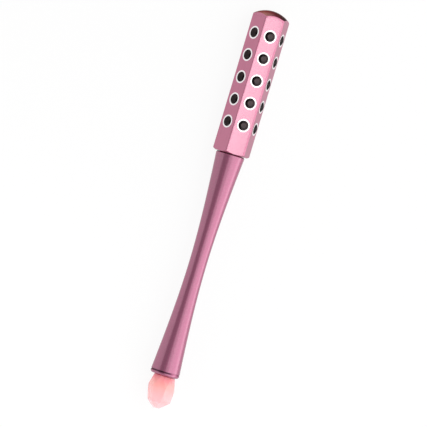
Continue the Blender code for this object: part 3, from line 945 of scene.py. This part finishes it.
def dressInnerPieces():
    steel = turnedStock("stainless_steel_turned", innerFinish["steel"])
    brass = turnedStock("brass_turned", innerFinish["brass"])
    acetal = turnedStock("acetal_turned", innerFinish["acetal"])
    finishes = {
        "axle": steel, "tip_stud": steel, "retaining_washer": steel, "retaining_screw": steel,
        "axle_socket": brass, "thrust_washer": acetal, "lower_bush": acetal, "upper_bush": acetal,
    }
    for node, material in finishes.items():
        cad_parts[node].data.materials.clear()
        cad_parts[node].data.materials.append(material)


dressInnerPieces()
print("inner pieces dressed")


# Floor, backdrop and light

studio = {
    "floorSize": 9.0,
    "wallRadius": 4.0,
    "wallHeight": 2.0,
    "wallSides": 96,
    "paper": "f6f5f5",
    "paperGlow": 0.91,          # how much of the paper shows as plain white, apart from its shading
    "ceiling": 0.38,            # the dim ceiling is what the dark band on the handle mirrors
}


def whitePaper(name, glow):
    # seamless white paper: matt, and white to the camera and in mirrors
    material, tree = newMaterial(name)
    path = addNode(tree, "ShaderNodeLightPath")
    seen = addNode(tree, "ShaderNodeMath", {"operation": "MAXIMUM"}, links={
        0: path.outputs["Is Camera Ray"], 1: path.outputs["Is Glossy Ray"]})
    seenThrough = addNode(tree, "ShaderNodeMath", {"operation": "MAXIMUM"}, links={
        0: seen.outputs["Value"], 1: path.outputs["Is Transmission Ray"]})
    share = addNode(tree, "ShaderNodeMath", {"operation": "MULTIPLY"}, {1: glow},
                    {0: seenThrough.outputs["Value"]})
    paper = addNode(tree, "ShaderNodeBsdfDiffuse", values={"Color": hexColour(studio["paper"])})
    white = addNode(tree, "ShaderNodeEmission", values={"Color": (1.0, 1.0, 1.0, 1.0),
                                                        "Strength": 1.0})
    mix = addNode(tree, "ShaderNodeMixShader", links={
        0: share.outputs["Value"], 1: paper.outputs["BSDF"], 2: white.outputs["Emission"]})
    finishMaterial(tree, mix.outputs["Shader"])
    return material


def makeStudio():
    bm = bmesh.new()
    bmesh.ops.create_grid(bm, x_segments=1, y_segments=1, size=studio["floorSize"] / 2)
    floor = bpy.data.objects.new("paper_floor", meshFrom(bm, "paper_floor"))
    floor.data.materials.append(whitePaper("seamless_paper_floor", studio["paperGlow"]))
    bm = bmesh.new()
    bmesh.ops.create_cone(bm, cap_ends=False, segments=studio["wallSides"],
                          radius1=studio["wallRadius"], radius2=studio["wallRadius"],
                          depth=studio["wallHeight"],
                          matrix=Matrix.Translation((0.0, 0.0, studio["wallHeight"] / 2)))
    wall = bpy.data.objects.new("paper_backdrop", meshFrom(bm, "paper_backdrop"))
    wall.data.materials.append(whitePaper("seamless_paper_backdrop", 1.0))
    for thing in (floor, wall):
        bpy.context.scene.collection.objects.link(thing)

    world = bpy.data.worlds.new("dim_ceiling")
    world.use_nodes = True
    world.node_tree.nodes["Background"].inputs["Color"].default_value = (1.0, 1.0, 1.0, 1.0)
    world.node_tree.nodes["Background"].inputs["Strength"].default_value = studio["ceiling"]
    bpy.context.scene.world = world


lamps = {
    # place and aim are in metres, and radiance is how bright its face looks (white paper is 1)
    # tipLight reaches the quartz from past its point, and nothing mirrors it
    "softbox": {"place": (0.0, -0.604, 0.525), "aim": (0.0, 0.0, 0.0), "length": 2.2,
                "width": 1.28, "radiance": 1.36},
    "topFill": {"place": (0.0, 0.04, 0.85), "aim": (0.0, 0.0, 0.0), "length": 2.2,
                "width": 0.36, "radiance": 0.85},
    "tipLight": {"place": (-0.22, 0.18, 0.10), "aim": (-0.1, 0.0, 0.01), "length": 0.2,
                 "width": 0.2, "radiance": 2.4, "mirrored": False},
    "headStrip": {"place": (0.100, -0.199, 0.873), "aim": (0.069, 0.0, 0.018), "length": 0.135,
                  "width": 0.030, "radiance": 3.0},
}


def addLamp(name, look):
    # an area lamp whose power follows from its radiance and its area
    lamp = bpy.data.lights.new(name, "AREA")
    lamp.shape = "RECTANGLE"
    lamp.size = look["length"]
    lamp.size_y = look["width"]
    lamp.energy = look["radiance"] * pi * look["length"] * look["width"]
    holder = bpy.data.objects.new(name, lamp)
    bpy.context.scene.collection.objects.link(holder)
    place = Vector(look["place"])
    out = (place - Vector(look["aim"])).normalized()
    across = out.cross(Vector((1.0, 0.0, 0.0))).normalized()
    turn = Matrix((across.cross(out), across, out)).transposed().to_4x4()
    holder.matrix_world = Matrix.Translation(place) @ turn
    holder.visible_camera = False
    holder.visible_glossy = look.get("mirrored", True)


makeStudio()
for name, look in lamps.items():
    addLamp(name, look)


# Camera, from where the roller leans 16.7 degrees and one stone row faces a little to the right

view = {
    "lean": 16.70,              # degrees from the picture's upright
    "faceTurn": 13.5,           # degrees that the top row of stones is turned to the right
    "metresPerPixel": 0.5206e-3,
    "pictureWidth": 427,
    "apexAlong": 210.87,        # from the picture's middle along the roller to its end, in pixels
    "aside": 0.69,              # from the roller's axis to the picture's middle, in pixels
    "distance": 2.0,
    "sensorWidth": 36.0,
}


def addCamera():
    pixel = view["metresPerPixel"]
    lean = radians(view["lean"])
    turn = radians(view["faceTurn"])
    back = Vector((0.0, sin(turn), cos(turn)))
    along = Vector((1.0, 0.0, 0.0))
    aside = along.cross(back)
    up = along * cos(lean) - aside * sin(lean)
    right = up.cross(back)
    middle = Vector((capHigh.x - view["apexAlong"] * pixel, 0.0, axisHeight))
    middle += aside * view["aside"] * pixel
    camera = bpy.data.objects.new("camera", bpy.data.cameras.new("camera"))
    bpy.context.scene.collection.objects.link(camera)
    camera.matrix_world = (Matrix.Translation(middle + back * view["distance"])
                           @ Matrix((right, up, back)).transposed().to_4x4())
    camera.data.sensor_width = view["sensorWidth"]
    camera.data.lens = view["sensorWidth"] * view["distance"] / (view["pictureWidth"] * pixel)
    bpy.context.scene.camera = camera


addCamera()
print("studio, light and camera placed")
